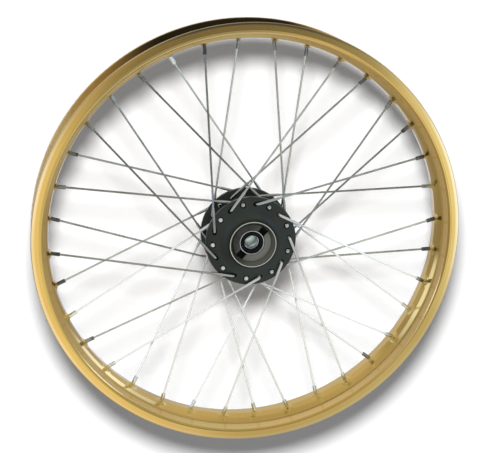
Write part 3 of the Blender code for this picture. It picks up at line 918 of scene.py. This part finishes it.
def hubOutline():
    h = hubShape
    root, edge = lacing["flangeRoot"], lacing["flangeEdge"]
    nearIn, farIn = -lacing["nearFlange"], lacing["farFlange"]
    nearRoot, nearEdge = nearIn - lacing["rootThickness"], nearIn - lacing["edgeThickness"]
    farRoot, farEdge = farIn + lacing["rootThickness"], farIn + lacing["edgeThickness"]
    landY = h["end"] + h["land"]
    outline = [(h["mouth"], h["end"], 0.25), (h["brightFrom"], h["end"], 0), (h["endRadius"], h["end"], 0.3)]
    outline += reversed(cove(root, landY, root - h["endRadius"], nearRoot - landY, 14))
    outline += [(edge, nearEdge, 0.7), (edge, nearIn, 0.6)]
    outline += cove(root, nearIn + h["fillet"], root - h["barrel"], -h["fillet"], 10)
    outline += reversed(cove(root, farIn - h["fillet"], root - h["barrel"], h["fillet"], 10))
    outline += [(edge, farIn, 0.6), (edge, farEdge, 0.7), (root, farRoot, 0.8), (h["discSeat"], farRoot, 0.6)]
    outline += [(h["discSeat"], h["discSeatY"], 0.5), (h["spigot"], h["discSeatY"], 0.3)]
    outline += [(h["spigot"], h["farEnd"], 0.6), (h["bearingBore"], h["farEnd"], 0.6)]
    outline += [(h["bearingBore"], h["farShoulder"], 0), (h["core"], h["farShoulder"], 0)]
    outline += [(h["core"], h["nearShoulder"], 0), (h["bearingBore"], h["nearShoulder"], 0)]
    outline += [(h["bearingBore"], h["ringBack"], 0), (h["ringBore"], h["ringBack"], 0)]
    outline += [(h["ringBore"], h["ringFront"], 0.8)]
    return rounded(outline)


slotShape = dict(
    drill=2.3,
    drillClear=3.0,                 # how far the tools stand out of the metal
    clear=4.0,
    width=5.4,
    back=1.6,                       # behind the hole's centre
    front=3.4,                      # towards the rim
    depth=1.9,
    headRing=4.1,
    headRingDepth=0.55,
)


def unturned(piece):  # puts a tool's place into its mesh
    pick(piece)
    bpy.ops.object.transform_apply()
    return piece


def swungSet(piece, count):
    return [piece] + [swungCopy(piece, f"{piece.name}_{i}", math.tau * i / count) for i in range(1, count)]


def holeTool(number):  # the drill for a spoke, with the slot for its elbow or the ring under its head
    s = slotShape
    headFace, leave, corner, seat = spokeRoute(number)
    lift, clear = leave * s["drillClear"], leave * s["clear"]
    drill = rod(headFace - lift, corner + lift, s["drill"], 20)
    if not spokeLayout(number)[1]:
        ring = rod(headFace + leave * s["headRingDepth"], headFace - clear, s["headRing"], 24)
        return unturned(combine(drill, ring, "UNION"))
    face = corner - leave * elbowStandoff(number)
    run = seat - corner
    run.y = 0
    run.normalize()
    back, front = face - run * s["back"], face + run * s["front"]
    for spot in (back, front):
        combine(drill, rod(spot - leave * s["depth"], spot + clear, s["width"] / 2, 20), "UNION")
    size = ((front - back).length, s["clear"] + s["depth"], s["width"])
    middle = (back + front) / 2 + leave * (s["clear"] - s["depth"]) / 2
    return unturned(combine(drill, block(size, middle, -math.atan2(run.z, run.x)), "UNION"))


def boltTool():
    h = hubShape
    spot, out = around(h["boltCircle"], h["discSeatY"], 0), Vector((0, 1, 0))
    drill = rod(spot - out * h["boltDepth"], spot + out * 5, h["boltRadius"], 24)
    sink = rod(spot - out * h["boltSink"], spot + out * h["boltSink"], h["boltRadius"] - 0.1, 24,
               h["boltRadius"] + h["sinkSpread"])
    return unturned(combine(drill, sink, "UNION"))


def hubPiece():
    h = hubShape
    piece = turnedPiece("hub_casting", hubOutline(), hubBlack, h["steps"], h["sharp"])
    tools = []
    deselectAll()
    for kind in range(1, lacing["kinds"] + 1):
        tools += swungSet(holeTool(kind), groups)
    tools += swungSet(boltTool(), h["bolts"])
    # the drilled holes and elbow slots are painted near black as shade
    cutAway(piece, tools, holeShade)
    tidyMesh(piece, h["sharp"])

    def bare(spot, facing):  # the machined ring of the near end and the disc seat
        ring = spot.y < h["brightBefore"] * mm and facing.y < -0.25 and fromAxle(spot) > h["brightFrom"] * mm
        return ring or spot.y > h["bareSeatPast"] * mm and facing.y > 0.9 and fromAxle(spot) < h["bareSeat"] * mm

    def ledge(spot, facing):  # behind the drive ring, painted black as shade
        return facing.y < -0.9 and abs(spot.y / mm - h["ringBack"]) < 0.1 and fromAxle(spot) < h["ringBore"] * mm

    def recess(spot, facing):
        inside = spot.y < h["recessBefore"] * mm and fromAxle(spot) < h["recess"] * mm
        return inside and awayFromAxle(spot, facing) < -0.002

    paintFaces(piece, hubMachined, bare)
    paintFaces(piece, holeShade, ledge)
    paintFaces(piece, ringDark, recess)
    return hand(piece, "wheel", "hub_black", "hub_shell")


hubPiece()
print("hub turned and drilled")


ringShape = dict(
    inner=16.5,
    outer=25.2,
    front=-37.0,
    back=-33.6,
    slotWidth=10.4,
    slotReach=24.8,                 # from the axle to the slot's end
    slotAngle=math.radians(46),
    cutter=8.0,                     # thicker than the ring
    steps=144,
)


def driveRing():
    r = ringShape
    outline = rounded([(r["inner"], r["back"], 0), (r["outer"], r["back"], 0), (r["outer"], r["front"], 0.4),
                       (r["inner"], r["front"], 0.3)])
    piece = turnedPiece("speedometer_drive", outline, ringDark, r["steps"])
    deselectAll()
    slot = block((2 * r["slotReach"], r["cutter"], r["slotWidth"]), (0, (r["front"] + r["back"]) / 2, 0),
                 -r["slotAngle"])
    # the slots' cut faces are painted near black as shade
    cutAway(piece, [slot], holeShade)
    tidyMesh(piece)
    return hand(piece, "wheel", "drive_ring_steel", "speedometer_drive_ring")


driveRing()


nearSeal = dict(
    outer=16.2,
    inner=12.0,
    front=-35.9,
    back=-31.3,
    rubberEdge=-34.9,
    groove=(13.2, 11.0, -33.6),     # outer and inner radius, and depth
    crest=(10.2, -35.6),
    lip=(9.5, -35.7),
)
farSeal = dict(
    outer=20.0,
    inner=16.0,
    front=31.3,
    back=24.3,
    rubberEdge=30.2,
    groove=(16.8, 14.6, 28.2),
    crest=(13.6, 30.9),
    lip=(12.7, 31.0),
)


def seal(side, s, wall=1.1, floor=0.4, play=0.05):  # a pressed shell with its rubber
    way = math.copysign(1, s["front"])
    cup, bed = s["outer"] - wall, s["back"] + way * floor
    shell = turnedPiece(f"{side}_seal_shell", rounded([
        (cup, s["front"], 0.3), (s["outer"], s["front"], 0.4), (s["outer"], s["back"], 0),
        (s["inner"], s["back"], 0), (s["inner"], bed, 0), (cup, bed, 0)]), sealShell, 120)
    if way < 0:                                                 # its rim stands in the drive ring's shade
        paintFaces(shell, holeShade, lambda spot, facing: awayFromAxle(spot, facing) > 0.012)
    hand(shell, "wheel", "bearing_steel", f"{side}_seal")
    grooveOut, grooveIn, grooveY = s["groove"]
    rubber = turnedPiece(f"{side}_seal_rubber", rounded([
        (cup - play, bed + way * play, 0), (cup - play, s["rubberEdge"], 0.4), (grooveOut, grooveY, 0.8),
        (grooveIn, grooveY, 0.8), (*s["crest"], 0.4), (*s["lip"], 0.3),
        (s["lip"][0], bed + way * 2 * play, 0.3)]), sealRubber)
    hand(rubber, "wheel", "seal_rubber", f"{side}_seal")


tubeShape = dict(
    bore=8.6,
    outer=10.9,
    start=-18.7,
    end=11.7,
    rounds=[0.2, 0.4, 0.4, 0.2],    # bore and outside at the start, outside and bore at the end
)
collarShape = dict(
    bore=8.6,
    outer=12.1,
    start=24.3,
    end=45.0,
    rounds=[0.3, 0.3, 0.6, 0.4],
)


def sleeve(name, node, s):
    corners = [(s["bore"], s["start"]), (s["outer"], s["start"]), (s["outer"], s["end"]), (s["bore"], s["end"])]
    outline = rounded([(*corner, fillet) for corner, fillet in zip(corners, s["rounds"])])
    hand(turnedPiece(name, outline, zincSteel), "axle_set", "zinc_steel", node)


seal("speedometer_side", nearSeal)
seal("brake_side", farSeal)
sleeve("distance_sleeve", "distance_tube", tubeShape)
sleeve("axle_spacer", "axle_collar", collarShape)


bearingShape = dict(
    bore=8.5,
    outer=20.0,
    pitch=14.25,
    ball=3.4,
    ballSegments=24,
    ballRings=14,
    track=3.9,
    trackSteps=12,
    land=1.2,
    half=6.0,
    balls=8,
    cageHalf=0.9,
    cageDepth=1.4,
    cageSteps=72,
)


def race(side, middle, word, back, towards, body):
    b = bearingShape
    shoulder = b["pitch"] + towards * (b["track"] - b["land"])
    reach = math.acos((b["track"] - b["land"]) / b["track"])
    outline = [(back, middle - b["half"], 0.6), (back, middle + b["half"], 0.6), (shoulder, middle + b["half"], 0.2)]
    for i in range(b["trackSteps"] + 1):
        bow = reach * (1 - 2 * i / b["trackSteps"])
        outline.append((b["pitch"] + towards * b["track"] * math.cos(bow), middle + b["track"] * math.sin(bow), 0))
    outline.append((shoulder, middle - b["half"], 0.2))
    piece = turnedPiece(f"{side}_race_{word}", rounded(outline), bearingSteel)
    if body == "wheel":
        paintFaces(piece, holeShade, lambda spot, facing: facing.y < -0.9)        # the face behind the drive ring, painted black as shade
    hand(piece, body, "bearing_steel", f"{side}_bearing_{word}_race")


def bearingSet(side, middle):
    b = bearingShape
    race(side, middle, "outer", b["outer"], 1, "wheel")
    race(side, middle, "inner", b["bore"], -1, "axle_set")
    balls = []
    deselectAll()
    for i in range(b["balls"]):
        bpy.ops.mesh.primitive_uv_sphere_add(
            segments=b["ballSegments"], ring_count=b["ballRings"], radius=b["ball"] * mm,
            location=around(b["pitch"], middle, math.tau * i / b["balls"]) * mm)
        ball = bpy.context.object
        ball.data.materials.append(ballSteel)
        balls.append(ball)
    inner, outer = b["pitch"] - b["cageHalf"], b["pitch"] + b["cageHalf"]
    front, back = middle - b["cageDepth"], middle + b["cageDepth"]
    outline = rounded([(inner, front, 0.3), (outer, front, 0.3), (outer, back, 0.3), (inner, back, 0.3)])
    cage = turnedPiece(f"{side}_balls_and_cage", outline, cageBrass, b["cageSteps"])
    tidyMesh(joined([cage] + balls), sharp=40)
    hand(cage, f"{side}_cage", "ball_steel", f"{side}_bearing_balls")


bearingSet("speedometer_side", -25.0)
bearingSet("brake_side", 18.0)
print("bearings, seals and sleeves turned")


# the stage, in metres

cameraSet = dict(
    azimuth=-9.871,
    elevation=16.842,
    distance=1.5126,
    sensor=36,
    lens=82.37,
    shift=(0.005513, 0.016634),
)


def heading(azimuth, elevation):  # towards a place in the room, in degrees; 0, 0 is straight out of the near side
    a, e = math.radians(azimuth), math.radians(elevation)
    return Vector((math.sin(a) * math.cos(e), -math.cos(a) * math.cos(e), math.sin(e)))


def lookFrom():
    c = cameraSet
    back = heading(c["azimuth"], c["elevation"])
    deselectAll()
    bpy.ops.object.camera_add(location=back * c["distance"], rotation=(-back).to_track_quat("-Z", "Y").to_euler())
    eye = bpy.context.object
    eye.name = "camera"
    eye.data.sensor_width = c["sensor"]
    eye.data.lens = c["lens"]
    eye.data.shift_x, eye.data.shift_y = c["shift"]
    bpy.context.scene.camera = eye


lookFrom()


stageSet = dict(
    wall=0.2,                       # behind the wheel's centre plane
    size=8.0,
    white=0.77,
    glow=0.10,                      # lifts the wall to white
    glowColour=(0.96, 0.99, 1.05),
)


def backdrop():
    s = stageSet
    deselectAll()
    bpy.ops.mesh.primitive_plane_add(size=s["size"], location=(0, s["wall"], 0), rotation=(math.pi / 2, 0, 0))
    wall = newest("backdrop")
    bpy.ops.object.transform_apply()
    made = Finish("backdropPaper", 0.0, Roughness=0.9, Specular_IOR_Level=0.0, Emission_Color=s["glowColour"],
                  Emission_Strength=s["glow"])
    fibre = made.noise(300, 2)
    lamp = bpy.context.scene.camera.location + Vector(lightSet["keyOff"])
    off = ((made.x - lamp.x) ** 2 + (made.z - lamp.z) ** 2) / (s["wall"] - lamp.y) ** 2
    white = s["white"] * (1 + off) ** 0.5 * (0.995 + fibre * 0.01)      # whiter where the light falls at a slant
    made.set("Base Color", made.vector(white, white, white))
    lit = Wire(made.tree, made.shader.outputs["BSDF"])
    clear = made.node("ShaderNodeBsdfTransparent", sockets={"Color": (1, 1, 1)})
    seen = made.node("ShaderNodeLightPath", out="Is Camera Ray")        # metal mirrors the studio's own white instead
    behind = made.node("ShaderNodeNewGeometry", out="Backfacing")
    both = made.node("ShaderNodeMixShader", sockets={0: seen * (1 - behind), 1: clear, 2: lit})
    made.tree.links.new(both.socket, made.tree.nodes["Material Output"].inputs["Surface"])
    wall.data.materials.append(made.material)


lightSet = dict(
    keyOff=(-0.014, 0, 0.225),      # from the camera: just above it, so the shadow falls straight down
    keySize=0.2,
    keyPower=10.95,
    rearFrom=(1.2, 1.8, 1.6),
    rearSize=1.0,
    rearPower=7.0,
    ambient=0.125,
    room=0.64,                      # what metal mirrors: the room, then its lighter and darker parts
    roof=0.31,
    backWall=0.19,
    backFloor=0.21,
    frontFloor=0.10,
    floor=0.85,
    cool=(0.94, 1.04, 1.12),        # daylight from the right, paler light from behind and in the bright panels
    pale=(1.0, 1.08, 1.38),
    glare=(1.0, 1.28, 2.3),
    darks=[                         # azimuth, elevation, core and edge in degrees, share of the light lost
        (9, -6.5, 3.5, 9, 0.62),
        (-36, -14, 14, 34, 0.28),
        (-147, 12, 4, 9, 0.2),
    ],
    panels=[                        # azimuth, elevation, core and edge in degrees, brightness
        (-2, -21, 7, 15, 1.34),
        (22, -13.5, 4, 9, 1.5),
        (48, -16, 8, 22, 1.06),
        (175, -14, 8, 18, 0.8),
        (-164, -5, 6, 14, 0.8),
        (36, -50, 16, 32, 1.05),
        (50, -32, 8, 18, 0.95),
        (10, -57, 12, 26, 1.05),
    ],
    glares=[
        (-58, 5, 4, 10, 2.2),
        (-40, 11, 4, 9, 1.5),
        (-28, 15, 3, 8, 1.2),
        (67, 20, 5, 12, 2.2),
        (118, 13, 4, 9, 1.3),
        (139.5, 10, 4, 9.5, 1.6),
        (140, 2, 4, 9, 1.4),
        (141, 20, 3, 8, 1.1),
        (-132.5, 7, 4, 9.5, 1.45),
        (-132.5, -2, 4, 9.5, 1.35),
        (-132, 15, 3, 8, 1.1),
    ],
)


def softbox(name, place, size, power):
    place = Vector(place)
    deselectAll()
    bpy.ops.object.light_add(type="AREA", location=place, rotation=place.to_track_quat("Z", "Y").to_euler())
    lamp = bpy.context.object
    lamp.name = name
    lamp.data.shape = "DISK"
    lamp.data.size = size
    lamp.data.energy = power
    lamp.data.use_nodes = True
    tree = lamp.data.node_tree
    even = addNode(tree, "ShaderNodeLightFalloff", sockets={"Strength": 1.0}, out="Constant")
    plug(tree, tree.nodes["Emission"].inputs["Strength"], even)     # as bright at the wall as at the wheel
    lamp.visible_camera = False
    lamp.visible_glossy = False     # metal mirrors the room instead


def studioRoom(x, y, z):  # what metal mirrors in each direction: brightness, then cool, pale and glare shares
    s = lightSet
    front, down = 0 - y, 0 - z
    side = x.maths("ARCTAN2", x, front)                         # azimuth, positive to the right

    def panel(azimuth, elevation, core, edge):
        to = heading(azimuth, elevation)
        near = x * to.x + y * to.y + z * to.z
        return near.band(math.cos(math.radians(edge)), math.cos(math.radians(core)))

    backWall = y.band(0.3, 0.8) * x.band(-0.56, -0.36) * z.between(-0.1, 0.15, 0.55, 0.8)
    backFloor = y.band(0.2, 0.7) * down.between(-0.02, 0.2, 0.55, 0.8)
    room = s["room"] + z.band(0.3, 0.9) * (1 - y.band(0.2, 0.7) * 0.85) * s["roof"]
    room = room + backWall * s["backWall"] - backFloor * s["backFloor"]
    room = room - front.band(0.1, 0.5) * down.band(0.5, 0.75) * s["frontFloor"]
    for *place, share in s["darks"]:
        room = room * (1 - panel(*place) * share)
    floor = down.between(0.13, 0.21, 0.42, 0.66) * side.between(-0.20, -0.03, 0.8, 1.2)
    room = room.maths("MAXIMUM", room, floor * s["floor"])
    for *place, bright in s["panels"]:
        room = room.maths("MAXIMUM", room, panel(*place) * bright)
    glare = 0 * x
    for *place, bright in s["glares"]:
        spot = panel(*place)
        room = room.maths("MAXIMUM", room, spot * bright)
        glare = glare.maths("MAXIMUM", glare, spot)
    return room, side.between(0.12, 0.33, 1.0, 1.4), y.band(0.86, 0.95), glare


def lamps():
    s = lightSet
    softbox("key_softbox", bpy.context.scene.camera.location + Vector(s["keyOff"]), s["keySize"], s["keyPower"])
    softbox("rear_softbox", s["rearFrom"], s["rearSize"], s["rearPower"])
    world = bpy.data.worlds.new("studio")
    bpy.context.scene.world = world
    world.use_nodes = True
    tree = world.node_tree
    towards = addNode(tree, "ShaderNodeTexCoord", out="Generated")
    parts = addNode(tree, "ShaderNodeSeparateXYZ", sockets={0: towards})
    camera = addNode(tree, "ShaderNodeLightPath", out="Is Camera Ray")
    mirror = camera.output("Is Glossy Ray")
    bright, cold, back, glare = studioRoom(*(parts.output(i) for i in range(3)))
    colour = (1, 1, 1)
    for share, tint in ((cold, s["cool"]), (back, s["pale"]), (glare, s["glare"])):
        colour = mixColour(tree, mirror * share, colour, tint)
    background = tree.nodes["Background"]
    plug(tree, background.inputs["Color"], colour)
    plug(tree, background.inputs["Strength"],
         camera + (1 - camera) * (mirror * bright + (1 - mirror) * s["ambient"]))


backdrop()
lamps()
print("stage lit")

bpy.context.scene.view_settings.view_transform = "Standard"

deselectAll()
print("done")
